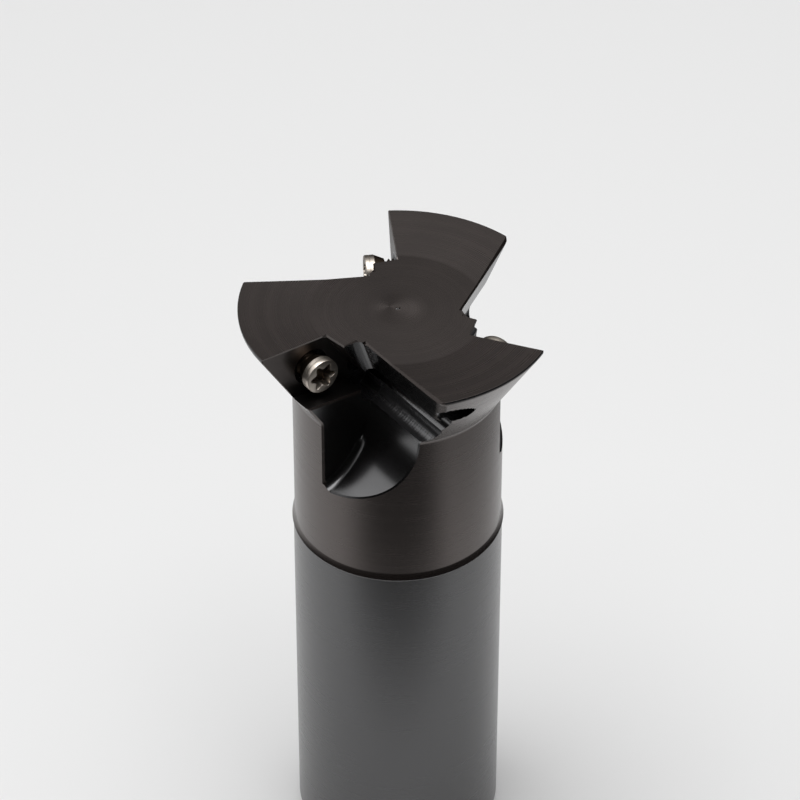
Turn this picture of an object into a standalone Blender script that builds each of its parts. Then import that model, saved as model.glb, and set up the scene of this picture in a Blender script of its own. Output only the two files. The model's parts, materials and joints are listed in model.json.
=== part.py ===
"""A three-tooth indexable face mill with a plain cylindrical shank, its inserts taken out.

Metres, +Z up. The origin is the centre of the shank's end face, Z is the spindle axis, and the
rim of the cutting face is the highest point. The cutter turns counter-clockwise seen from above.

Each tooth has a frame of its own, an empty turned about Z. In it x runs outward along the
insert seat, y is the way the seat faces, and z is up. Everything milled for a tooth runs
straight along that y, as from one set-up on a machine, so each cutter is an outline in x and z
that is extruded along y. Heights below the rim are negative.
"""

import math

import bmesh
import bpy

MM = 0.001

# Turned body
OVERALL_LENGTH = 100 * MM
SHANK_RADIUS = 16.0 * MM
SHANK_CHAMFER = 1.2 * MM
RIDGE_RADIUS = 16.2 * MM
RIDGE_DEPTH = 39.8 * MM
RIDGE_CHAMFER = 1.0 * MM
NECK_RADIUS = 15.82 * MM
RIM_RADIUS = 23.6 * MM
RIM_LAND = 0.5 * MM
FLANK_ANGLE = math.radians(30.9)
FLANK_FILLET = 1.5 * MM
DISH_RADIUS = 13.0 * MM
DISH_DEPTH = 0.65 * MM
CENTRE_DEPTH = 0.5 * MM
BODY_SEGMENTS = 144

# Teeth
TOOTH_NAMES = ("a", "b", "c")
FIRST_TOOTH_ANGLE = math.radians(-143)

# Insert seat, for a 55 degree rhombic insert: a flat facing along y, open to the rim and the
# flank, with a wall parallel to the flank on its inner side and a ledge under it
SEAT_Y = -1.37 * MM
BLOCK_FRONT_Y = 2.35 * MM
POCKET_SLOPE = math.tan(FLANK_ANGLE)
POCKET_WALL_X = 12.68 * MM
POCKET_DRAFT = 0.54 * MM
LEDGE_DEPTH = 9.78 * MM
LEDGE_RISE = 0.11

# Chip gullet in front of the seat: a leaning wall with a round bowl below. Two grooves, one over
# the other, undercut the wall's foot. They start behind the seat, where they are the relief for
# the insert's inner corner. Each is given as x, depth and radius.
GULLET_SLOPE = math.tan(math.radians(18))
GULLET_WALL_X = 8.9 * MM
GULLET_FLOOR_DEPTH = 10.9 * MM
LOWER_GROOVE = (6.65 * MM, 11.0 * MM, 1.9 * MM)
UPPER_GROOVE = (6.35 * MM, 8.2 * MM, 2.0 * MM)
GROOVE_START_Y = -1.67 * MM
BOWL_X = 20.5 * MM
BOWL_DEPTH = 13.0 * MM
BOWL_RADIUS = 13.6 * MM

# Insert screw, an M4 with a countersunk six-lobe head, and its tapped hole through the tooth
SCREW_X = 14.95 * MM
SCREW_DEPTH = 5.1 * MM
SCREW_FACE_Y = {"a": 1.75 * MM, "b": 3.2 * MM, "c": 1.75 * MM}
HEAD_RADIUS = 2.75 * MM
HEAD_EDGE = 0.2 * MM
HEAD_THICKNESS = 1.6 * MM
CONE_RADIUS = 2.05 * MM
CONE_LENGTH = 1.2 * MM
THREAD_RADIUS = 1.75 * MM
TIP_RADIUS = 1.3 * MM
SCREW_LENGTH = 10.0 * MM
RECESS_RADIUS = 1.66 * MM
RECESS_LOBE = 0.28 * MM
RECESS_LOBES = 6
RECESS_DEPTH = 1.7 * MM
RECESS_FLOOR_DEPTH = 2.0 * MM
BORE_RADIUS = 2.05 * MM
BORE_MOUTH_RADIUS = 2.9 * MM
SCREW_SEGMENTS = 48
BORE_SEGMENTS = 32
GROOVE_SEGMENTS = 48

CLEAR = 30 * MM
OVERLAP = 1.0 * MM
WELD = 0.0001 * MM
ARC_STEP = math.radians(6)
SHARP_ANGLE = math.radians(30)


def clear_scene():
    for obj in list(bpy.data.objects):
        bpy.data.objects.remove(obj, do_unlink=True)


def steel(name, colour, roughness, metallic):
    material = bpy.data.materials.new(name)
    material.use_nodes = True
    shader = material.node_tree.nodes["Principled BSDF"]
    shader.inputs["Base Color"].default_value = (*colour, 1)
    shader.inputs["Roughness"].default_value = roughness
    shader.inputs["Metallic"].default_value = metallic
    material.diffuse_color = (*colour, 1)
    return material


def arc(centre_x, centre_z, radius, start, end):
    """Points on an arc from one angle to another, both ends included."""
    count = max(2, math.ceil(abs(end - start) / ARC_STEP))
    angles = [start + (end - start) * i / count for i in range(count + 1)]
    return [(centre_x + radius * math.cos(a), centre_z + radius * math.sin(a)) for a in angles]


def object_from(bm, name, smooth):
    bmesh.ops.remove_doubles(bm, verts=bm.verts, dist=WELD)
    bmesh.ops.recalc_face_normals(bm, faces=bm.faces)
    mesh = bpy.data.meshes.new(name)
    bm.to_mesh(mesh)
    bm.free()
    if smooth:
        mesh.shade_smooth()
        mesh.set_sharp_from_angle(angle=SHARP_ANGLE)
    obj = bpy.data.objects.new(name, mesh)
    bpy.context.collection.objects.link(obj)
    return obj


def turned(name, profile):
    """A solid of revolution about Z, from (radius, height) points that begin and end on the axis."""
    bm = bmesh.new()
    corners = [bm.verts.new((radius, 0, height)) for radius, height in profile]
    edges = [bm.edges.new(pair) for pair in zip(corners, corners[1:])]
    bmesh.ops.spin(
        bm,
        geom=corners + edges,
        axis=(0, 0, 1),
        cent=(0, 0, 0),
        angle=2 * math.pi,
        steps=BODY_SEGMENTS,
        use_merge=True,
    )
    return object_from(bm, name, smooth=True)


def ringed(name, rings):
    """A closed solid along y, from rings of (x, y, z) points with a fan closing each end."""
    bm = bmesh.new()
    loops = [[bm.verts.new(point) for point in ring] for ring in rings]
    count = len(loops[0])
    for lower, upper in zip(loops, loops[1:]):
        for i in range(count):
            j = (i + 1) % count
            bm.faces.new((lower[i], lower[j], upper[j], upper[i]))
    for loop in (loops[0], loops[-1]):
        bm.faces.new(loop)
    return object_from(bm, name, smooth=True)


def circle(radius, y, segments):
    turns = [2 * math.pi * i / segments for i in range(segments)]
    return [(radius * math.cos(t), y, radius * math.sin(t)) for t in turns]


def body_profile():
    ridge_height = OVERALL_LENGTH - RIDGE_DEPTH
    flank_foot_depth = RIM_LAND + (RIM_RADIUS - NECK_RADIUS) / math.tan(FLANK_ANGLE)
    fillet_reach = FLANK_FILLET * math.tan(FLANK_ANGLE / 2)
    fillet = arc(
        NECK_RADIUS + FLANK_FILLET,
        OVERALL_LENGTH - flank_foot_depth - fillet_reach,
        FLANK_FILLET,
        math.pi,
        math.pi - FLANK_ANGLE,
    )
    return [
        (0, 0),
        (SHANK_RADIUS - SHANK_CHAMFER, 0),
        (SHANK_RADIUS, SHANK_CHAMFER),
        (SHANK_RADIUS, ridge_height - (RIDGE_RADIUS - SHANK_RADIUS)),
        (RIDGE_RADIUS, ridge_height),
        (NECK_RADIUS, ridge_height + RIDGE_CHAMFER),
        *fillet,
        (RIM_RADIUS, OVERALL_LENGTH - RIM_LAND),
        (RIM_RADIUS, OVERALL_LENGTH),
        (DISH_RADIUS, OVERALL_LENGTH - DISH_DEPTH),
        (0, OVERALL_LENGTH - CENTRE_DEPTH),
    ]


def ledge_z(x):
    return -LEDGE_DEPTH + LEDGE_RISE * (x - SCREW_X)


def pocket_outline(draft):
    """The insert's outline on its seat, with the inner wall moved inward by the draft.

    The wall runs down and inward to its corner with the ledge, inside the lower groove."""
    wall_x = POCKET_WALL_X - draft
    corner_x = (wall_x + POCKET_SLOPE * ledge_z(0)) / (1 - POCKET_SLOPE * LEDGE_RISE)
    outer_x = SCREW_X + CLEAR
    return [
        (wall_x + POCKET_SLOPE * CLEAR, CLEAR),
        (corner_x, ledge_z(corner_x)),
        (outer_x, ledge_z(outer_x)),
        (outer_x, CLEAR),
    ]


def gullet_outline():
    """Down the leaning wall, across inside the lower groove, then round the bowl below."""
    floor_z = -GULLET_FLOOR_DEPTH
    bowl_start = math.pi - math.asin((floor_z + BOWL_DEPTH) / BOWL_RADIUS)
    return [
        (GULLET_WALL_X + GULLET_SLOPE * CLEAR, CLEAR),
        (GULLET_WALL_X + GULLET_SLOPE * floor_z, floor_z),
        *arc(BOWL_X, -BOWL_DEPTH, BOWL_RADIUS, bowl_start, 2 * math.pi),
        (BOWL_X + BOWL_RADIUS, CLEAR),
    ]


def groove_rings(radius, far_y):
    return [circle(radius, y, GROOVE_SEGMENTS) for y in (GROOVE_START_Y, far_y)]


def at_y(outline, y):
    return [(x, y, z) for x, z in outline]


def as_cutter(obj, tooth):
    obj.parent = tooth
    obj.hide_render = True
    obj.display_type = "WIRE"
    return obj


def tooth_cutters(tooth, name):
    far_y = BLOCK_FRONT_Y + CLEAR
    # The pocket reaches past the block's front, and its draft goes on at the same rate.
    pocket_reach = BLOCK_FRONT_Y + OVERLAP - SEAT_Y
    draft = POCKET_DRAFT * pocket_reach / (BLOCK_FRONT_Y - SEAT_Y)
    pocket = [
        at_y(pocket_outline(0), SEAT_Y),
        at_y(pocket_outline(draft), SEAT_Y + pocket_reach),
    ]
    gullet = [at_y(gullet_outline(), BLOCK_FRONT_Y), at_y(gullet_outline(), far_y)]
    lower_x, lower_depth, lower_radius = LOWER_GROOVE
    upper_x, upper_depth, upper_radius = UPPER_GROOVE
    # The mouth is a 45 degree countersink that the cutter carries on past the seat.
    mouth = BORE_MOUTH_RADIUS - BORE_RADIUS
    bore = [
        circle(BORE_RADIUS, SEAT_Y - CLEAR, BORE_SEGMENTS),
        circle(BORE_RADIUS, SEAT_Y - mouth, BORE_SEGMENTS),
        circle(BORE_MOUTH_RADIUS + OVERLAP, SEAT_Y + OVERLAP, BORE_SEGMENTS),
    ]
    shapes = {
        "pocket": (pocket, 0, 0),
        "gullet": (gullet, 0, 0),
        "lower_groove": (groove_rings(lower_radius, far_y), lower_x, lower_depth),
        "upper_groove": (groove_rings(upper_radius, far_y), upper_x, upper_depth),
        "bore": (bore, SCREW_X, SCREW_DEPTH),
    }
    cutters = []
    for kind, (rings, x, depth) in shapes.items():
        cutter = as_cutter(ringed(f"cut_{kind}_{name}", rings), tooth)
        cutter.location = (x, 0, OVERALL_LENGTH - depth)
        cutters.append(cutter)
    return cutters


def cutter_body(teeth, material):
    body = turned("cutter_body", body_profile())
    body.data.materials.append(material)
    for name, tooth in teeth.items():
        for cutter in tooth_cutters(tooth, name):
            cut = body.modifiers.new(cutter.name, "BOOLEAN")
            cut.operation = "DIFFERENCE"
            cut.solver = "EXACT"
            cut.object = cutter
    return body


def recess_ring(y, scale):
    """A six-lobe outline: a circle whose radius swells and shrinks as a cosine."""
    points = []
    for i in range(SCREW_SEGMENTS):
        turn = 2 * math.pi * i / SCREW_SEGMENTS
        radius = scale * (RECESS_RADIUS + RECESS_LOBE * math.cos(RECESS_LOBES * turn))
        points.append((radius * math.cos(turn), y, radius * math.sin(turn)))
    return points


def insert_screw(name, tooth, face_y, material):
    """A screw whose head's face is at its own origin, with the shank running down -y."""
    cone_end = HEAD_THICKNESS + CONE_LENGTH
    tip_chamfer = THREAD_RADIUS - TIP_RADIUS
    outside = [
        (HEAD_RADIUS - HEAD_EDGE, 0),
        (HEAD_RADIUS, HEAD_EDGE),
        (HEAD_RADIUS, HEAD_THICKNESS),
        (CONE_RADIUS, cone_end),
        (THREAD_RADIUS, cone_end),
        (THREAD_RADIUS, SCREW_LENGTH - tip_chamfer),
        (TIP_RADIUS, SCREW_LENGTH),
    ]
    rings = [
        recess_ring(-RECESS_FLOOR_DEPTH, 0.5),
        recess_ring(-RECESS_DEPTH, 1),
        recess_ring(0, 1),
    ]
    rings += [circle(radius, -depth, SCREW_SEGMENTS) for radius, depth in outside]
    screw = ringed(f"insert_screw_{name}", rings)
    screw.data.materials.append(material)
    screw.parent = tooth
    screw.location = (SCREW_X, face_y, OVERALL_LENGTH - SCREW_DEPTH)
    return screw


def tooth_frames():
    """The teeth stand counter-clockwise from the first in the order a, c, b."""
    frames = {}
    pitch = 2 * math.pi / len(TOOTH_NAMES)
    for i, name in enumerate(TOOTH_NAMES):
        frame = bpy.data.objects.new(f"tooth_{name}", None)
        frame.rotation_euler.z = FIRST_TOOTH_ANGLE - i * pitch
        bpy.context.collection.objects.link(frame)
        frames[name] = frame
    return frames


clear_scene()
black_oxide = steel("black_oxide_steel", (0.035, 0.03, 0.029), 0.33, 0.85)
screw_steel = steel("screw_steel", (0.52, 0.48, 0.43), 0.3, 1.0)
tooth_by_name = tooth_frames()
cutter_body(tooth_by_name, black_oxide)
for tooth_name, tooth_frame in tooth_by_name.items():
    insert_screw(tooth_name, tooth_frame, SCREW_FACE_Y[tooth_name], screw_steel)
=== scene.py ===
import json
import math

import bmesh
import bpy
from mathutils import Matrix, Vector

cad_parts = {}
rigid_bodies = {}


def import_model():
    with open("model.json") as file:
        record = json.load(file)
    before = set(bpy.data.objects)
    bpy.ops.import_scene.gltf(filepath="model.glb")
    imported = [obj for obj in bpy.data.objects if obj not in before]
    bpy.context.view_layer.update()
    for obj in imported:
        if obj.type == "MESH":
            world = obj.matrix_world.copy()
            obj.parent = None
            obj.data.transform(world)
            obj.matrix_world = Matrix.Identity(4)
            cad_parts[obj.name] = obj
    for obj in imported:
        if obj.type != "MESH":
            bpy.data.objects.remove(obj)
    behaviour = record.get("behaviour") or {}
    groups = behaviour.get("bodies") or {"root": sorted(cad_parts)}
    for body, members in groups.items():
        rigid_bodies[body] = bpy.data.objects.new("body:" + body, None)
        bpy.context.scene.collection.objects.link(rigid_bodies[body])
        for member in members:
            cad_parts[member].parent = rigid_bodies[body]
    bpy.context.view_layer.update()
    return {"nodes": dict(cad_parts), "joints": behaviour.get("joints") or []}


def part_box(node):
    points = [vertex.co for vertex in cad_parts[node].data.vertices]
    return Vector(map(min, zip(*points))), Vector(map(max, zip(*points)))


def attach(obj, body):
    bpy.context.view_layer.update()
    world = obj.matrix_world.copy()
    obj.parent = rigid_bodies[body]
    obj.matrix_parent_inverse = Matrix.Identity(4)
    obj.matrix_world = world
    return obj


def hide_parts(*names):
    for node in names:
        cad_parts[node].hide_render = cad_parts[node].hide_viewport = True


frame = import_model()

# The looks of a three-tooth face mill with its inserts taken out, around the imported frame.
#
# Lengths are metres. Each tooth has a frame of its own, turned about Z: x runs outward along
# the insert seat, y is the way the seat faces, and z is the height above the cutting rim, so
# what lies below the rim is negative. All that is milled for a tooth runs along that y. The
# body is made with its rim at z = 0 and lifted into place at the end.

MM = 0.001
TAU = 2 * math.pi
UP = Vector((0, 0, 1))
RIM_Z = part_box("cutter_body")[1].z

# Turned body
SHANK_RADIUS = 16.0 * MM
SHANK_CHAMFER = 1.2 * MM
RIDGE_RADIUS = 16.2 * MM
RIDGE_Z = -39.8 * MM
RIDGE_CHAMFER = 1.0 * MM
NECK_RADIUS = 15.82 * MM
RIM_RADIUS = 23.6 * MM
RIM_LAND = 0.5 * MM
RIM_ROUND = 0.12 * MM
FLANK_ANGLE = math.radians(30.9)
FLANK_FILLET = 1.5 * MM
DISH_RADIUS = 13.0 * MM
DISH_DEPTH = 0.65 * MM
DISH_EDGE = 0.25 * MM
CENTRE_DEPTH = 0.5 * MM
NUB_RADIUS = 0.35 * MM
NUB_HEIGHT = 0.12 * MM
TURNING_SEGMENTS = 540

# Insert seat, for a 55 degree rhombic insert: its inner wall is parallel to the flank
SEAT_Y = -1.37 * MM
BLOCK_FRONT_Y = 2.35 * MM
POCKET_SLOPE = math.tan(FLANK_ANGLE)
POCKET_WALL_X = 12.68 * MM
POCKET_DRAFT = 0.54 * MM
LEDGE_Z = -9.78 * MM
LEDGE_RISE = 0.11

# Chip gullet: a leaning wall, two grooves that undercut its foot and a round bowl below
GULLET_LEAN = math.radians(18)
GULLET_SLOPE = math.tan(GULLET_LEAN)
GULLET_WALL_X = 8.9 * MM
GULLET_FLOOR_Z = -10.9 * MM
GULLET_CORNER_RADIUS = 1.8 * MM
TIP_ROUND = 1.7 * MM

# The bowl runs round from its top angle, and its edge on the neck between the edge angles. Its
# corner at the block is sharp high up, and round from the start angle on.
BOWL_X = 20.5 * MM
BOWL_Z = -13.0 * MM
BOWL_RADIUS = 13.6 * MM
BOWL_TOP_ANGLE = math.radians(150)
BOWL_STEPS = 120
BOWL_EDGE_ANGLES = (math.radians(176), math.radians(248))
BOWL_CORNER_RADIUS = 1.5 * MM
BOWL_CORNER_START = math.radians(206)
BOWL_CORNER_SPREAD = math.radians(6)
BOWL_CORNER_LEAST = 0.02

# Each groove is given as x, z and radius. The grooves start behind the seat, as the relief for
# the insert's corner. Past the block the lower one is wider, and both show their tool's ridges.
LOWER_GROOVE = (6.65 * MM, -11.0 * MM, 1.92 * MM)
UPPER_GROOVE = (6.35 * MM, -8.2 * MM, 2.0 * MM)
GROOVE_SEGMENTS = 56
RELIEF_START_Y = -1.67 * MM
RELIEF_CORNER_RADIUS = 0.2 * MM
RELIEF_STEP = 0.1 * MM
RIDGE_PITCH = 0.5 * MM
LOWER_RIDGE_HEIGHT = 0.009 * MM
UPPER_RIDGE_HEIGHT = 0.002 * MM

# Insert screw
SCREW_SEGMENTS = 96
SCREW_LENGTH = 10.0 * MM
HEAD_RADIUS = 2.75 * MM
HEAD_THICKNESS = 1.45 * MM
HEAD_LINE_DEPTH = 0.7 * MM
CONE_LENGTH = 1.6 * MM
THREAD_PITCH = 0.7 * MM
THREAD_CREST = 1.97 * MM
THREAD_ROOT = 1.55 * MM
LOBES = 6
LOBE_TIP = 2.2 * MM
LOBE_VALLEY = 1.45 * MM
RECESS_DEPTH = 1.6 * MM
SCREW_TURNS = {"screw_a": math.radians(-3), "screw_b": math.radians(20), "screw_c": 0.0}

# Tapped hole for it
SCREW_X = 14.95 * MM
SCREW_Z = -5.1 * MM
BORE_RADIUS = 2.04 * MM
BORE_GROOVE_RADIUS = 2.3 * MM
BORE_MOUTH_RADIUS = 2.9 * MM
BORE_REACH = 17.0 * MM
BORE_SEGMENTS = 40

# How far cutters go past what they cut, and how close two points count as one: in a piece as it
# is made, and in the body after its cuts
CLEAR = 30 * MM
OVERLAP = 1.0 * MM
WELD = 0.0001 * MM
CUT_WELD = 0.002 * MM
SHARP_ANGLE = math.radians(28)


# ---------------------------------------------------------------- shape helpers


def tooth_angle(joint):
    """How far the tooth of a screw's joint is turned about Z."""
    x, y, _ = joint["axis"]
    return math.atan2(y, x) - math.pi / 2


def evenly(start, end, count):
    """Numbers from start to end in even steps, both included."""
    return [start + (end - start) * i / count for i in range(count + 1)]


def arc(centre, radius, start, end, count=24):
    """(x, z) points on an arc from one angle to another."""
    x, z = centre
    return [(x + radius * math.cos(a), z + radius * math.sin(a)) for a in evenly(start, end, count)]


def new_object(name, bm, material=None):
    """A linked object of this mesh, with its points joined and its faces turned outward."""
    bmesh.ops.remove_doubles(bm, verts=bm.verts, dist=WELD)
    bmesh.ops.recalc_face_normals(bm, faces=bm.faces)
    mesh = bpy.data.meshes.new(name)
    bm.to_mesh(mesh)
    bm.free()
    obj = bpy.data.objects.new(name, mesh)
    bpy.context.collection.objects.link(obj)
    if material:
        mesh.materials.append(material)
    return obj


def loft(name, rings, material=None):
    """A closed solid through rings of the same number of points, with a face over each end."""
    bm = bmesh.new()
    loops = [[bm.verts.new(point) for point in ring] for ring in rings]
    count = len(loops[0])
    for near, far in zip(loops, loops[1:]):
        for i in range(count):
            j = (i + 1) % count
            bm.faces.new((near[i], near[j], far[j], far[i]))
    bm.faces.new(loops[0])
    bm.faces.new(loops[-1])
    return new_object(name, bm, material)


def circle(radius, y, segments, x=0.0, z=0.0):
    """Points round a line along y, which passes through x and z."""
    turns = [TAU * i / segments for i in range(segments)]
    return [(x + radius * math.cos(t), y, z + radius * math.sin(t)) for t in turns]


def at_y(outline, y):
    """An outline of (x, z) points, stood up at this y."""
    return [(x, y, z) for x, z in outline]


# ---------------------------------------------------------------- the turned body


def dish_z(radius):
    """Height of the cutting face at a distance from the axis."""
    if radius >= DISH_RADIUS:
        return -DISH_DEPTH * (RIM_RADIUS - radius) / (RIM_RADIUS - DISH_RADIUS)
    return -CENTRE_DEPTH - (DISH_DEPTH - CENTRE_DEPTH) * radius / DISH_RADIUS


def fillet_z():
    """Height of the centre of the fillet between the neck and the flank."""
    foot_z = -RIM_LAND - (RIM_RADIUS - NECK_RADIUS) / math.tan(FLANK_ANGLE)
    return foot_z - FLANK_FILLET * math.tan(FLANK_ANGLE / 2)


def side_radius(z):
    """Radius of the neck, its fillet, the flank or the rim's land at a height."""
    rise = z - fillet_z()
    if rise <= 0:
        return NECK_RADIUS
    if rise < FLANK_FILLET * math.sin(FLANK_ANGLE):
        return NECK_RADIUS + FLANK_FILLET - math.sqrt(FLANK_FILLET**2 - rise**2)
    return RIM_RADIUS + min(0.0, z + RIM_LAND) * math.tan(FLANK_ANGLE)


def on_side(x, z):
    """The point of the turned side that stands in front of x and z in a tooth's frame."""
    return Vector((x, math.sqrt(side_radius(z) ** 2 - x * x), z))


def body_profile():
    """(radius, z) points from the shank's end, up the side and in over the face to the axis."""
    fillet = arc(
        (NECK_RADIUS + FLANK_FILLET, fillet_z()), FLANK_FILLET, math.pi, math.pi - FLANK_ANGLE, 8
    )
    rim = arc((RIM_RADIUS - RIM_ROUND, -RIM_ROUND), RIM_ROUND, 0, math.pi / 2, 3)
    # Corners are broken by about this much.
    near = 0.1 * MM
    points = [
        (0, -RIM_Z),
        (SHANK_RADIUS - SHANK_CHAMFER, -RIM_Z),
        (SHANK_RADIUS - near, SHANK_CHAMFER - near - RIM_Z),
        (SHANK_RADIUS, SHANK_CHAMFER + near - RIM_Z),
        (SHANK_RADIUS, RIDGE_Z - 3.5 * near),
        (RIDGE_RADIUS - 0.3 * near, RIDGE_Z - near),
        (RIDGE_RADIUS, RIDGE_Z),
        (RIDGE_RADIUS - 0.4 * near, RIDGE_Z + near),
        (NECK_RADIUS + 0.3 * near, RIDGE_Z + RIDGE_CHAMFER - near),
        (NECK_RADIUS, RIDGE_Z + RIDGE_CHAMFER + near),
        *fillet,
        (RIM_RADIUS - 0.2 * near, -RIM_LAND - 0.6 * near),
        (RIM_RADIUS, -RIM_LAND + 0.6 * near),
        *rim,
    ]
    for radius in (DISH_RADIUS + DISH_EDGE, DISH_RADIUS, DISH_RADIUS - DISH_EDGE):
        points.append((radius, dish_z(radius)))
    points += [
        (NUB_RADIUS + near, dish_z(NUB_RADIUS) - 0.2 * near),
        (NUB_RADIUS, dish_z(NUB_RADIUS)),
        (0.6 * NUB_RADIUS, dish_z(0) + NUB_HEIGHT),
        (0, dish_z(0) + NUB_HEIGHT),
    ]
    return points


def turned_body(materials):
    """The blank as it leaves the lathe, with a material each for shank, side, face and rim."""
    profile = body_profile()
    bm = bmesh.new()
    corners = [bm.verts.new((radius, 0, z)) for radius, z in profile]
    edges = [bm.edges.new(pair) for pair in zip(corners, corners[1:])]
    bmesh.ops.spin(
        bm,
        geom=corners + edges,
        axis=UP,
        cent=(0, 0, 0),
        angle=TAU,
        steps=TURNING_SEGMENTS,
        use_merge=True,
    )
    obj = new_object("cutter_body_finished", bm)
    names = ("shank", "side", "face", "rim")
    for name in names:
        obj.data.materials.append(materials[name])
    shank, side, face, rim = range(len(names))
    for polygon in obj.data.polygons:
        if polygon.center.z < RIDGE_Z:
            polygon.material_index = shank
        elif polygon.normal.z > 0.9:
            polygon.material_index = face
        elif polygon.center.z > -RIM_LAND:
            polygon.material_index = rim
        else:
            polygon.material_index = side
    return obj


# ---------------------------------------------------------------- what is milled for a tooth


def ledge_z(x):
    """Height of the pocket's ledge."""
    return LEDGE_Z + LEDGE_RISE * (x - SCREW_X)


def pocket_wall_x(z, draft=0.0):
    """Where the pocket's inner wall stands at a height."""
    return POCKET_WALL_X - draft + POCKET_SLOPE * z


def gullet_wall_x(z, inset=0.0):
    """Where the gullet's wall stands at a height."""
    return GULLET_WALL_X + inset / math.cos(GULLET_LEAN) + GULLET_SLOPE * z


def pocket_outline(draft):
    """The insert's outline on its seat, with the inner wall moved inward by the draft."""
    corner_x = pocket_wall_x(ledge_z(0), draft) / (1 - POCKET_SLOPE * LEDGE_RISE)
    outer_x = SCREW_X + CLEAR
    return [
        (pocket_wall_x(CLEAR, draft), CLEAR),
        (corner_x, ledge_z(corner_x)),
        (outer_x, ledge_z(outer_x)),
        (outer_x, CLEAR),
    ]


def wall_outline(inset):
    """The open space beside the gullet's wall, drawn in by inset."""
    floor_z = GULLET_FLOOR_Z + inset
    return [
        (gullet_wall_x(CLEAR, inset), CLEAR),
        (gullet_wall_x(floor_z, inset), floor_z),
        (BOWL_X, floor_z),
        (BOWL_X, CLEAR),
    ]


def bowl_outline(inset):
    """The open space of the bowl and above it, drawn in by inset, but hardly at all high up."""
    bowl = []
    for angle in evenly(BOWL_TOP_ANGLE, TAU, BOWL_STEPS):
        past_start = max(0.0, min(1.0, (angle - BOWL_CORNER_START) / BOWL_CORNER_SPREAD))
        eased = past_start**2 * (3 - 2 * past_start)
        radius = BOWL_RADIUS - inset * (BOWL_CORNER_LEAST + (1 - BOWL_CORNER_LEAST) * eased)
        bowl.append((BOWL_X + radius * math.cos(angle), BOWL_Z + radius * math.sin(angle)))
    top_x, top_z = bowl[0]
    return [(top_x + GULLET_SLOPE * (CLEAR - top_z), CLEAR), *bowl, (bowl[-1][0], CLEAR)]


def rounded_start(start_y, radius, steps=6):
    """(y, inset) pairs of a cutter whose end has a round corner."""
    turns = evenly(0, math.pi / 2, steps)
    return [(start_y + radius * (1 - math.cos(t)), radius * (1 - math.sin(t))) for t in turns]


def pocket_cutter(material):
    """The insert's pocket, which widens away from its seat."""
    reach = BLOCK_FRONT_Y + OVERLAP - SEAT_Y
    draft = POCKET_DRAFT * reach / (BLOCK_FRONT_Y - SEAT_Y)
    rings = [at_y(pocket_outline(0), SEAT_Y), at_y(pocket_outline(draft), SEAT_Y + reach)]
    return loft("cut_pocket", rings, material)


def gullet_cutter(name, outline, start_y, radius, material):
    """A cutter for part of the gullet that leaves a round corner at the block's front."""
    stations = rounded_start(start_y, radius)
    stations.append((start_y + CLEAR, 0))
    rings = [at_y(outline(inset), y) for y, inset in stations]
    return loft(name, rings, material)


def groove_cutter(name, place, step, ridge_height, material):
    """A round groove along y with the fine ridges of its tool, and a relief behind the block.

    place is its x, z and radius, and step is how much narrower the relief is."""
    x, z, radius = place
    steps_per_ridge = 5
    slow_pitch = 2.7 * RIDGE_PITCH

    def ring(ring_radius, y):
        return circle(ring_radius, y, GROOVE_SEGMENTS, x, z)

    stations = rounded_start(RELIEF_START_Y, RELIEF_CORNER_RADIUS, 3)
    rings = [ring(radius - step - inset, y) for y, inset in stations]
    rings.append(ring(radius - step, BLOCK_FRONT_Y))
    y = BLOCK_FRONT_Y
    while y < RIM_RADIUS:
        y += RIDGE_PITCH / steps_per_ridge
        wave = math.sin(TAU * y / RIDGE_PITCH) + 0.6 * math.sin(TAU * y / slow_pitch)
        rings.append(ring(radius + ridge_height * wave, y))
    return loft(name, rings, material)


def bore_cutter(material):
    """A tapped hole right through the tooth, with a countersunk mouth at the seat."""
    steps_per_pitch = 6
    depth = BORE_GROOVE_RADIUS - BORE_RADIUS
    rings = []
    y = SEAT_Y - BORE_REACH
    end_y = SEAT_Y - (BORE_MOUTH_RADIUS - BORE_GROOVE_RADIUS)
    while y < end_y:
        ring = []
        for i in range(BORE_SEGMENTS):
            turn = TAU * i / BORE_SEGMENTS
            phase = (y / THREAD_PITCH - i / BORE_SEGMENTS) % 1
            radius = BORE_RADIUS + depth * (1 - abs(2 * phase - 1))
            ring.append((SCREW_X + radius * math.cos(turn), y, SCREW_Z + radius * math.sin(turn)))
        rings.append(ring)
        y += THREAD_PITCH / steps_per_pitch
    rings.append(circle(BORE_GROOVE_RADIUS, end_y, BORE_SEGMENTS, SCREW_X, SCREW_Z))
    wide = BORE_MOUTH_RADIUS + OVERLAP
    rings.append(circle(wide, SEAT_Y + OVERLAP, BORE_SEGMENTS, SCREW_X, SCREW_Z))
    return loft("cut_bore", rings, material)


def edge_break(name, path, normal_a, normal_b, width, material):
    """A bar laid along a sharp edge that takes a chamfer of this width off it.

    path holds the edge's points. The normals are those of the two faces that meet there, each
    a function of a point."""
    rings = []
    for i, point in enumerate(path):
        ahead = path[min(i + 1, len(path) - 1)] - path[max(i - 1, 0)]
        a, b = normal_a(point), normal_b(point)
        out = (a + b).normalized()
        across = out.cross(ahead).normalized()
        # Half the angle between the normals sets how deep a chamfer of this width lies.
        half = math.acos(max(-1.0, min(1.0, a.dot(b)))) / 2
        low = point - out * (width / 2 * math.tan(half))
        high = point + out * width
        side = across * width
        rings.append([low - side, low + side, high + side, high - side])
    return loft(name, rings, material)


def edge_round(name, path, normal_a, normal_b, radius, material):
    """A bar laid along a sharp edge that rounds it to this radius."""
    steps = 8
    rings = []
    for point in path:
        a, b = normal_a(point), normal_b(point)
        out = (a + b).normalized()
        centre = point - out * (radius / out.dot(a))
        bend = [centre + a.slerp(b, i / steps) * radius for i in range(steps + 1)]
        ends = [point + b * radius, point + out * 3 * radius]
        rings.append([point + a * radius, *bend, *ends])
    return loft(name, rings, material)


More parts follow.
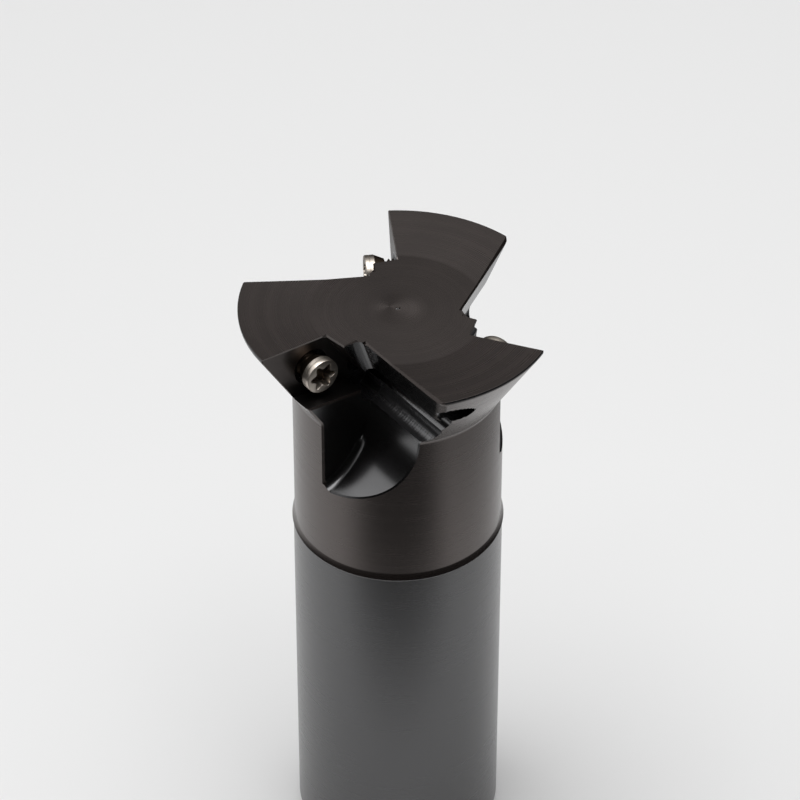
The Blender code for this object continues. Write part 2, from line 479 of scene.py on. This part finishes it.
def straight(start, end, count=8):
    """Points from one end of a line to the other."""
    return [start.lerp(end, i / count) for i in range(count + 1)]


def on_face(x, y):
    """The point of the cutting face above x and y."""
    return Vector((x, y, dish_z(math.hypot(x, y))))


def face_path(start, end, count=24):
    """Points of the cutting face above the straight line between two (x, y) points."""
    flat = straight(Vector((*start, 0)), Vector((*end, 0)), count)
    return [on_face(point.x, point.y) for point in flat]


def side_path(outline, start_z, end_z, count=24):
    """Points of the turned side where a surface with this x for each z meets it."""
    return [on_side(outline(z), z) for z in evenly(start_z, end_z, count)]


def block_path(start_z, end_z, y, count=24):
    """Points of the turned side on a plane that faces along y."""
    heights = evenly(start_z, end_z, count)
    return [Vector((math.sqrt(side_radius(z) ** 2 - y * y), y, z)) for z in heights]


def bowl_path(start, end, count=48):
    """The edge of the bowl on the neck, between two angles about the bowl's axis."""
    points = arc((BOWL_X, BOWL_Z), BOWL_RADIUS, start, end, count)
    return [on_side(x, z) for x, z in points]


# The normals of a tooth's faces, each for an edge's point


def face_normal(_):
    return UP


def seat_normal(_):
    return Vector((0, 1, 0))


def ledge_normal(_):
    return Vector((-LEDGE_RISE, 0, 1)).normalized()


def pocket_wall_normal(_):
    return Vector((1, 0, -POCKET_SLOPE)).normalized()


def gullet_wall_normal(_):
    return Vector((1, 0, -GULLET_SLOPE)).normalized()


def bowl_normal(point):
    return Vector((BOWL_X - point.x, 0, BOWL_Z - point.z)).normalized()


def side_normal(point):
    step = 0.02 * MM
    slope = (side_radius(point.z + step) - side_radius(point.z - step)) / (2 * step)
    out = Vector((point.x, point.y, 0)).normalized()
    return (out - UP * slope).normalized()


def edge_breaks(materials):
    """The small chamfers along the edges of a tooth, and the round of its trailing tip."""
    # Bars go this far past the ends of their edges.
    past = 0.6 * MM
    corner_x = pocket_wall_x(-DISH_DEPTH)
    lip_x = pocket_wall_x(-DISH_DEPTH, POCKET_DRAFT)
    wall_top_x = gullet_wall_x(-DISH_DEPTH)
    rim_y = math.sqrt(RIM_RADIUS**2 - GULLET_WALL_X**2)
    front_y = BLOCK_FRONT_Y + 0.5 * GULLET_CORNER_RADIUS
    relief_x = LOWER_GROOVE[0] + LOWER_GROOVE[2] - RELIEF_STEP
    ledge_out_x = math.sqrt(side_radius(ledge_z(SCREW_X)) ** 2 - BLOCK_FRONT_Y**2)
    ledge = [
        Vector((x, BLOCK_FRONT_Y, ledge_z(x))) for x in (relief_x - past, ledge_out_x + past)
    ]
    foot_x = math.sqrt(NECK_RADIUS**2 - BLOCK_FRONT_Y**2)
    foot_z = BOWL_Z - math.sqrt(BOWL_RADIUS**2 - (BOWL_X - foot_x) ** 2) + BOWL_CORNER_RADIUS / 2
    # For each edge: its path, the normals of its faces, its chamfer's width in millimetres and
    # the chamfer's finish.
    edges = {
        # The seat's and pocket's top chamfers take the lighter finish: partly worn bare steel,
        # partly a painted highlight along the edge.
        "seat_top": (
            face_path((corner_x, SEAT_Y), (RIM_RADIUS + past, SEAT_Y)),
            face_normal, seat_normal, 0.18, "bare_and_highlit",
        ),
        "pocket_top": (
            face_path((corner_x, SEAT_Y - past / 4), (lip_x, BLOCK_FRONT_Y + past / 4), 8),
            face_normal, pocket_wall_normal, 0.32, "bare_and_highlit",
        ),
        "block_top": (
            face_path((lip_x + past, BLOCK_FRONT_Y), (wall_top_x + past, BLOCK_FRONT_Y), 8),
            face_normal, seat_normal, 0.2, "edge",
        ),
        "gullet_top": (
            face_path((wall_top_x, front_y), (wall_top_x, rim_y + past), 40),
            face_normal, gullet_wall_normal, 0.36, "edge",
        ),
        "ledge_front": (straight(*ledge), ledge_normal, seat_normal, 0.4, "edge"),
        "block_side": (
            block_path(ledge_z(ledge_out_x) + past, foot_z, BLOCK_FRONT_Y, 40),
            seat_normal, side_normal, 0.4, "edge",
        ),
        "seat_side": (
            block_path(past, ledge_z(RIM_RADIUS), SEAT_Y),
            seat_normal, side_normal, 0.14, "edge",
        ),
        "bowl_side": (
            bowl_path(*BOWL_EDGE_ANGLES),
            bowl_normal, side_normal, 0.32, "rim",
        ),
    }
    cuts = [
        edge_break(f"cut_{name}", path, normal_a, normal_b, width * MM, materials[finish])
        for name, (path, normal_a, normal_b, width, finish) in edges.items()
    ]
    tip = side_path(gullet_wall_x, past, UPPER_GROOVE[1])
    round_tip = edge_round(
        "cut_gullet_end", tip, gullet_wall_normal, side_normal, TIP_ROUND, materials["edge"]
    )
    return [*cuts, round_tip]


# ---------------------------------------------------------------- materials

OXIDE_INDEX = 1.9


class Nodes:
    """Builds shader nodes in a tree with short calls."""

    def __init__(self, tree):
        self.tree = tree

    def add(self, kind, **settings):
        node = self.tree.nodes.new(kind)
        for key, value in settings.items():
            setattr(node, key, value)
        return node

    def link(self, source, target):
        self.tree.links.new(source, target)

    def feed(self, socket, value):
        if isinstance(value, bpy.types.NodeSocket):
            self.link(value, socket)
        else:
            socket.default_value = value

    def math(self, operation, a, b=0.0):
        node = self.add("ShaderNodeMath", operation=operation)
        self.feed(node.inputs[0], a)
        self.feed(node.inputs[1], b)
        return node.outputs[0]

    def span(self, value, low, high):
        """A value of 0 to 1, taken to low to high."""
        node = self.add("ShaderNodeMapRange")
        self.link(value, node.inputs["Value"])
        node.inputs["To Min"].default_value = low
        node.inputs["To Max"].default_value = high
        return node.outputs["Result"]

    def ramp(self, value, start, end, low, high):
        """A smooth step from low to high as the value goes from start to end."""
        node = self.add("ShaderNodeMapRange", interpolation_type="SMOOTHSTEP")
        self.link(value, node.inputs["Value"])
        limits = {"From Min": start, "From Max": end, "To Min": low, "To Max": high}
        for name, number in limits.items():
            node.inputs[name].default_value = number
        return node.outputs["Result"]

    def blend(self, factor, a, b):
        node = self.add("ShaderNodeMix", data_type="RGBA")
        self.feed(node.inputs["Factor"], factor)
        self.feed(node.inputs["A"], a)
        self.feed(node.inputs["B"], b)
        return node.outputs["Result"]

    def bump(self, height, distance):
        """The normal of a surface that rises by distance as height goes from 0 to 1."""
        node = self.add("ShaderNodeBump")
        node.inputs["Strength"].default_value = 1.0
        node.inputs["Distance"].default_value = distance
        self.link(height, node.inputs["Height"])
        return node.outputs["Normal"]


class Surface(Nodes):
    """The nodes of one material, with the position on the object at hand."""

    def __init__(self, name):
        self.material = bpy.data.materials.new(name)
        self.material.use_nodes = True
        super().__init__(self.material.node_tree)
        self.shader = self.tree.nodes["Principled BSDF"]
        self.position = self.add("ShaderNodeTexCoord").outputs["Object"]
        axes = self.add("ShaderNodeSeparateXYZ")
        self.link(self.position, axes.inputs[0])
        self.x, self.y, self.z = axes.outputs

    def radius(self, centre_x=0.0):
        """Distance from an upright axis, which is the spindle's unless it stands off in x."""
        off_x = self.math("SUBTRACT", self.x, centre_x)
        square = self.math("ADD", self.math("POWER", off_x, 2), self.math("POWER", self.y, 2))
        return self.math("SQRT", square)

    def noise(self, scale, detail, along=None):
        """Noise of this many spots or lines to the metre, in space or along one value."""
        node = self.add("ShaderNodeTexNoise")
        if along is None:
            self.link(self.position, node.inputs["Vector"])
        else:
            node.noise_dimensions = "1D"
            self.link(along, node.inputs["W"])
        node.inputs["Scale"].default_value = scale
        node.inputs["Detail"].default_value = detail
        return node.outputs["Fac"]

    def set(self, **values):
        """Sets or links the shader's inputs. An input's name has _ for each space."""
        for key, value in values.items():
            self.feed(self.shader.inputs[key.replace("_", " ")], value)


def rgb(red, green, blue):
    return (red, green, blue, 1.0)


def oxide(name, lines_along, colours, tint, roughness, grain, depth, stretch=None):
    """Blackened steel: a glossy dark skin with the lines that its tool left.

    lines_along is "z" for lines round the side and "radius" for lines round the face. colours
    are the darkest and the lightest, tint colours the reflections, grain is how many lines
    there are to the metre, and depth is how deep they are. stretch, a function of the surface,
    gives how much the lines draw reflections out."""
    n = Surface(name)
    along = n.radius() if lines_along == "radius" else n.z
    fine = n.noise(grain, 3.0, along)
    coarse = n.noise(grain / 7, 2.0, along)
    patches = n.noise(120.0, 3.0)
    lines = n.math("ADD", n.math("MULTIPLY", fine, 0.5), n.math("MULTIPLY", coarse, 0.5))
    tone = n.math("ADD", n.span(patches, 0.0, 0.6), n.span(lines, -0.1, 0.5))
    wear = n.span(patches, -0.03, 0.03)
    gloss = n.span(lines, roughness - 0.05, roughness + 0.05)
    n.set(
        Base_Color=n.blend(tone, *colours),
        Metallic=0.0,
        IOR=OXIDE_INDEX,
        Specular_Tint=tint,
        Roughness=n.math("ADD", wear, gloss),
        Normal=n.bump(lines, depth),
    )
    if stretch:
        tangent = n.add("ShaderNodeTangent", direction_type="RADIAL", axis="Z")
        n.set(Anisotropic=stretch(n), Tangent=tangent.outputs[0])
    return n.material


def screw_metal(name, lighter, darker):
    """Plain satin steel with faint patches and a fine grain."""
    n = Surface(name)
    patches = n.noise(500.0, 4.0)
    n.set(
        Base_Color=n.blend(patches, lighter, darker),
        Metallic=1.0,
        Roughness=n.span(patches, 0.3, 0.42),
        Normal=n.bump(n.noise(9000.0, 2.0), 0.0004 * MM),
    )
    return n.material


def make_materials():
    """Every finish of the mill, by the name that the shapes ask for it by."""
    brown = rgb(0.0055, 0.0043, 0.0038), rgb(0.013, 0.0095, 0.0083)
    grey = rgb(0.011, 0.0108, 0.0112), rgb(0.024, 0.0235, 0.024)
    black = rgb(0.0022, 0.0021, 0.0022), rgb(0.005, 0.0046, 0.0045)
    # The lower groove is given a lighter grey than the other milled faces.
    groove_greys = rgb(0.012, 0.012, 0.013), rgb(0.028, 0.027, 0.028)
    # Lighter colours for chamfered top edges: partly worn bare steel, partly a painted highlight
    # where the edge catches the light.
    bare_and_highlit = rgb(0.035, 0.032, 0.03), rgb(0.09, 0.083, 0.08)
    warm, neutral = rgb(1.0, 0.88, 0.84), rgb(0.98, 0.98, 1.0)

    def round_side(_):
        return 0.3

    def round_centre(n):
        return n.ramp(n.radius(), 2.5 * MM, 5 * MM, 0.7, 0.1)

    return {
        "shank": oxide(
            "ground_shank", "z", grey, neutral, 0.26, 6000.0, 0.003 * MM, round_side
        ),
        "side": oxide(
            "turned_side", "z", brown, warm, 0.26, 5000.0, 0.006 * MM, round_side
        ),
        "face": oxide(
            "faced_end", "radius", brown, warm, 0.27, 5000.0, 0.004 * MM, round_centre
        ),
        "rim": oxide("rim_land", "z", black, neutral, 0.12, 4000.0, 0.0005 * MM),
        "seat": oxide("ground_seat", "z", black, warm, 0.3, 4000.0, 0.0008 * MM),
        "milled": oxide("milled_steel", "z", black, neutral, 0.19, 4000.0, 0.0008 * MM),
        "ridged": oxide("ridged_groove", "z", groove_greys, neutral, 0.28, 4000.0, 0.001 * MM),
        "edge": oxide("broken_edge", "z", brown, warm, 0.25, 4000.0, 0.001 * MM),
        "bare_and_highlit": oxide("bare_edge_painted_highlight", "z", bare_and_highlit, warm, 0.32, 4000.0, 0.001 * MM),
        "head": screw_metal("screw_head", rgb(0.66, 0.60, 0.53), rgb(0.48, 0.43, 0.38)),
        # The thread's colour is the head's steel darkened: painted shade for the cone and thread,
        # which lie in shadow by the seat.
        "thread": screw_metal("screw_thread_painted_shade", rgb(0.13, 0.1, 0.075), rgb(0.07, 0.05, 0.035)),
    }


# ---------------------------------------------------------------- assembly of the body


def weld(mesh):
    """Joins points that the cuts left on top of each other, and drops faces with no area."""
    bm = bmesh.new()
    bm.from_mesh(mesh)
    bmesh.ops.remove_doubles(bm, verts=bm.verts, dist=CUT_WELD)
    bmesh.ops.dissolve_degenerate(bm, dist=CUT_WELD, edges=bm.edges)
    bare = [edge for edge in bm.edges if not edge.link_faces]
    bmesh.ops.delete(bm, geom=bare, context="EDGES")
    bm.to_mesh(mesh)
    bm.free()


def cut_body(body, cutters):
    """Takes every cutter out of the body in one Boolean, and leaves a plain mesh."""
    group = bpy.data.collections.new("cutters")
    bpy.context.scene.collection.children.link(group)
    for cutter in cutters:
        for owner in list(cutter.users_collection):
            owner.objects.unlink(cutter)
        group.objects.link(cutter)
    cut = body.modifiers.new("milling", "BOOLEAN")
    cut.operation = "DIFFERENCE"
    cut.solver = "EXACT"
    cut.material_mode = "TRANSFER"
    cut.operand_type = "COLLECTION"
    cut.collection = group
    graph = bpy.context.evaluated_depsgraph_get()
    finished = bpy.data.meshes.new_from_object(body.evaluated_get(graph))
    weld(finished)
    body.modifiers.clear()
    body.data = finished
    for cutter in list(group.objects):
        bpy.data.objects.remove(cutter, do_unlink=True)
    bpy.data.collections.remove(group)


def keep_flats_flat(obj):
    """Shades each large flat face as flat, whatever round face it runs into."""
    level = obj.modifiers.new("flats_stay_flat", "WEIGHTED_NORMAL")
    level.mode = "FACE_AREA_WITH_ANGLE"
    level.keep_sharp = True


def tooth_cutters(materials):
    """All that is cut for one tooth, in its own frame."""
    milled, ridged = materials["milled"], materials["ridged"]
    # The wall's cutter starts a hair late, so that no two cutters share a plane.
    wall_y = BLOCK_FRONT_Y + 0.02 * MM
    return [
        pocket_cutter(materials["seat"]),
        gullet_cutter("cut_wall", wall_outline, wall_y, GULLET_CORNER_RADIUS, milled),
        gullet_cutter("cut_bowl", bowl_outline, BLOCK_FRONT_Y, BOWL_CORNER_RADIUS, milled),
        groove_cutter("cut_lower_groove", LOWER_GROOVE, RELIEF_STEP, LOWER_RIDGE_HEIGHT, ridged),
        groove_cutter("cut_upper_groove", UPPER_GROOVE, 0.0, UPPER_RIDGE_HEIGHT, milled),
        bore_cutter(milled),
        *edge_breaks(materials),
    ]


def build_body(materials):
    """The cutter's one piece of steel: the turned blank with its three teeth cut."""
    body = turned_body(materials)
    cutters = []
    for joint in frame["joints"]:
        turned = Matrix.Rotation(tooth_angle(joint), 4, "Z")
        tooth = tooth_cutters(materials)
        for cutter in tooth:
            cutter.data.transform(turned)
        cutters += tooth
    cut_body(body, cutters)
    body.data.transform(Matrix.Translation((0, 0, RIM_Z)))
    body.data.shade_smooth()
    body.data.set_sharp_from_angle(angle=SHARP_ANGLE)
    keep_flats_flat(body)
    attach(body, "cutter")
    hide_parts("cutter_body")


# ---------------------------------------------------------------- the insert screws


def lobe_ring(y, scale=1.0):
    """One ring of a six-lobe socket: narrow round tips between wide round valleys."""
    ring = []
    for i in range(SCREW_SEGMENTS):
        turn = TAU * i / SCREW_SEGMENTS
        wave = (1 + math.cos(LOBES * turn)) / 2
        # A power above 1 makes the tips narrower than the valleys.
        radius = scale * (LOBE_VALLEY + (LOBE_TIP - LOBE_VALLEY) * wave**1.2)
        ring.append((radius * math.cos(turn), y, radius * math.sin(turn)))
    return ring


def thread_ring(y, fade):
    """One ring of a helical thread. fade is 1 on the full thread, and 0 where it has run out."""
    ring = []
    for i in range(SCREW_SEGMENTS):
        turn = TAU * i / SCREW_SEGMENTS
        phase = (y / THREAD_PITCH - i / SCREW_SEGMENTS) % 1
        # A wave cut off at both ends, which leaves its crests and its roots flat
        ridge = max(0.0, min(1.0, 1.35 * (1 - abs(2 * phase - 1)) - 0.15))
        radius = THREAD_ROOT + (THREAD_CREST - THREAD_ROOT) * ridge * fade
        ring.append((radius * math.cos(turn), y, radius * math.sin(turn)))
    return ring


def screw_rings():
    """From the bottom of the socket, out over the head and down the thread to the tip."""
    cone_end = HEAD_THICKNESS + CONE_LENGTH
    steps_per_pitch = 12
    rings = [
        lobe_ring(-RECESS_DEPTH - 0.35 * MM, 0.15),
        lobe_ring(-RECESS_DEPTH - 0.1 * MM, 0.8),
        lobe_ring(-RECESS_DEPTH, 0.96),
        lobe_ring(-0.06 * MM, 0.98),
        lobe_ring(0),
    ]
    # Radius and depth of each corner, with a shallow line turned round the head's side
    near = 0.04 * MM
    line = HEAD_LINE_DEPTH
    line_radius = HEAD_RADIUS - 0.05 * MM
    head = [
        (HEAD_RADIUS - 0.15 * MM, 0.0),
        (line_radius, near),
        (HEAD_RADIUS, 0.15 * MM),
        (HEAD_RADIUS, line - 2 * near),
        (line_radius, line - near),
        (line_radius, line + near),
        (HEAD_RADIUS, line + 2 * near),
        (HEAD_RADIUS, HEAD_THICKNESS - 0.06 * MM),
        (line_radius, HEAD_THICKNESS + 0.03 * MM),
        (THREAD_CREST + 0.08 * MM, cone_end - 0.06 * MM),
        (THREAD_ROOT + 0.05 * MM, cone_end + 0.05 * MM),
    ]
    rings += [circle(radius, -depth, SCREW_SEGMENTS) for radius, depth in head]
    depth = cone_end + 0.15 * MM
    while depth < SCREW_LENGTH:
        run_out = min(1.0, (SCREW_LENGTH - depth) / THREAD_PITCH)
        run_in = min(1.0, (depth - cone_end) / THREAD_PITCH)
        rings.append(thread_ring(-depth, run_out * run_in))
        depth += THREAD_PITCH / steps_per_pitch
    rings.append(circle(THREAD_ROOT - 0.1 * MM, -SCREW_LENGTH, SCREW_SEGMENTS))
    return rings


def head_place(node, angle):
    """The middle of the face of a screw's head in its tooth's frame, from its solid."""
    to_tooth = Matrix.Rotation(-angle, 3, "Z")
    obj = frame["nodes"][node]
    points = [to_tooth @ (obj.matrix_world @ v.co) for v in obj.data.vertices]
    low = [min(p[i] for p in points) for i in range(3)]
    high = [max(p[i] for p in points) for i in range(3)]
    return Vector(((low[0] + high[0]) / 2, high[1], (low[2] + high[2]) / 2 - RIM_Z))


def build_screw(joint, materials):
    """One screw in its place. Its cone and thread are painted darker than its head, a painted shade
    for the shadow they lie in by the seat.
    """
    body = joint["child"]
    angle = tooth_angle(joint)
    screw = loft(f"{body}_finished", screw_rings(), materials["head"])
    screw.data.materials.append(materials["thread"])
    for polygon in screw.data.polygons:
        # Faces below the head take the darker colour, a painted shade on the cone and thread.
        polygon.material_index = int(polygon.center.y < -HEAD_THICKNESS)
    placed = (
        Matrix.Translation((0, 0, RIM_Z))
        @ Matrix.Rotation(angle, 4, "Z")
        @ Matrix.Translation(head_place("insert_" + body, angle))
        @ Matrix.Rotation(SCREW_TURNS[body], 4, "Y")
    )
    screw.data.transform(placed)
    screw.data.shade_smooth()
    screw.data.set_sharp_from_angle(angle=SHARP_ANGLE)
    keep_flats_flat(screw)
    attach(screw, body)
    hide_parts("insert_" + body)


# ---------------------------------------------------------------- the stage

TO_CAMERA = Vector((0, -0.773, 0.634))
LEFT = Vector((-1, 0, 0))

# World: an even light, one that grows overhead, and a panel on the left that starts between two
# heights and between two shares of leftward. All of it is dim about the camera.
ROOM_LIGHT = 0.03
OVERHEAD_LIGHT = 1.35
OVERHEAD_POWER = 4.0
PANEL_LIGHT = 1.4
PANEL_HEIGHTS = (0.24, 0.3)
PANEL_SIDES = (0.45, 0.65)
DIM_AROUND_CAMERA = (0.35, 0.9)
DIM_LEFT = 0.08

# Pale sheet. Reflections see it darken past its radius about SHEET_X, and in a strip in front
# of the mill, which starts at one distance and is at its darkest at another.
SHEET_GREY = rgb(0.79, 0.79, 0.79)
SHEET_HALF_WIDTH = 4.0
SHEET_GAP = 0.2 * MM
SHEET_DARKNESS = 0.97
SHEET_X = -0.03
SHEET_RADIUS = 0.1
SHEET_FADE = 0.11
SHADE_START = 0.035
SHADE_FULL = 0.095
SHADE_HALF_WIDTH = 0.045
SHADE_FADE = 0.08
SHADE_DEPTH = 0.9

LAMP_PLACE = Vector((0, -0.05, 0.9))
LAMP_AIM = Vector((0, 0, 0.05))
LAMP_SIZE = 0.75
LAMP_POWER = 6.4

CAMERA_PLACE = Vector((0.000125, -0.44994, 0.35059 + RIM_Z))
CAMERA_DOWN = math.radians(39.32)
CAMERA_ROLL = -0.0005
CAMERA_LENS = 174.54
SENSOR_WIDTH = 36.0


def build_floor():
    """A pale sheet. Reflections see it darken far out and in front, as if it ended there."""
    bm = bmesh.new()
    bmesh.ops.create_grid(bm, x_segments=1, y_segments=1, size=SHEET_HALF_WIDTH)
    floor = new_object("floor", bm)
    n = Surface("pale_paper")
    n.set(Base_Color=SHEET_GREY, Roughness=0.9)
    outer = SHEET_RADIUS + SHEET_FADE
    far = n.ramp(n.radius(SHEET_X), SHEET_RADIUS, outer, 0.0, SHEET_DARKNESS)
    forward = n.math("MULTIPLY", n.y, -1.0)
    sideways = n.math("ABSOLUTE", n.x)
    front = n.math(
        "MULTIPLY",
        n.ramp(forward, SHADE_START, SHADE_FULL, 0.0, SHADE_DEPTH),
        n.ramp(sideways, SHADE_HALF_WIDTH, SHADE_HALF_WIDTH + SHADE_FADE, 1.0, 0.0),
    )
    is_reflection = n.add("ShaderNodeLightPath").outputs["Is Glossy Ray"]
    black = n.add("ShaderNodeEmission")
    black.inputs["Strength"].default_value = 0
    mix = n.add("ShaderNodeMixShader")
    n.link(n.math("MULTIPLY", n.math("MAXIMUM", far, front), is_reflection), mix.inputs[0])
    n.link(n.shader.outputs[0], mix.inputs[1])
    n.link(black.outputs[0], mix.inputs[2])
    n.link(mix.outputs[0], n.tree.nodes["Material Output"].inputs["Surface"])
    floor.data.materials.append(n.material)
    floor.location.z = -SHEET_GAP


def build_world():
    """A dark room that brightens overhead, with a light panel on the left, dim at the camera."""
    world = bpy.data.worlds.new("studio")
    bpy.context.scene.world = world
    world.use_nodes = True
    n = Nodes(world.node_tree)
    direction = n.add("ShaderNodeTexCoord").outputs["Generated"]

    def towards(axis):
        part = n.add("ShaderNodeVectorMath", operation="DOT_PRODUCT")
        n.link(direction, part.inputs[0])
        part.inputs[1].default_value = axis
        return part.outputs["Value"]

    height = towards(UP)
    rise = n.math("POWER", n.math("MAXIMUM", height, 0.0), OVERHEAD_POWER)
    overhead = n.math("MULTIPLY", rise, OVERHEAD_LIGHT)
    panel = n.math(
        "MULTIPLY",
        n.ramp(height, *PANEL_HEIGHTS, 0.0, PANEL_LIGHT),
        n.ramp(towards(LEFT), *PANEL_SIDES, 0.0, 1.0),
    )
    light = n.math("ADD", n.math("ADD", overhead, ROOM_LIGHT), panel)
    dimming = n.ramp(towards(TO_CAMERA), *DIM_AROUND_CAMERA, 1.0, DIM_LEFT)
    dimmed = n.math("MULTIPLY", light, dimming)
    background = n.tree.nodes["Background"]
    background.inputs["Color"].default_value = rgb(1, 1, 1)
    n.link(dimmed, background.inputs["Strength"])


def build_lamp():
    """A large soft light overhead."""
    data = bpy.data.lights.new("overhead", "AREA")
    data.shape = "SQUARE"
    data.size = LAMP_SIZE
    data.energy = LAMP_POWER
    lamp = bpy.data.objects.new("overhead", data)
    bpy.context.collection.objects.link(lamp)
    lamp.location = LAMP_PLACE
    lamp.rotation_euler = (LAMP_AIM - LAMP_PLACE).to_track_quat("-Z", "Y").to_euler()


def build_camera():
    data = bpy.data.cameras.new("camera")
    data.sensor_width = SENSOR_WIDTH
    data.lens = CAMERA_LENS
    data.clip_start = 0.05
    data.clip_end = 20.0
    camera = bpy.data.objects.new("camera", data)
    bpy.context.collection.objects.link(camera)
    camera.location = CAMERA_PLACE
    camera.rotation_euler = (math.pi / 2 - CAMERA_DOWN, CAMERA_ROLL, 0)
    bpy.context.scene.camera = camera


finishes = make_materials()
build_body(finishes)
for joint in frame["joints"]:
    build_screw(joint, finishes)
build_floor()
build_world()
build_lamp()
build_camera()
bpy.context.scene.view_settings.view_transform = "Standard"
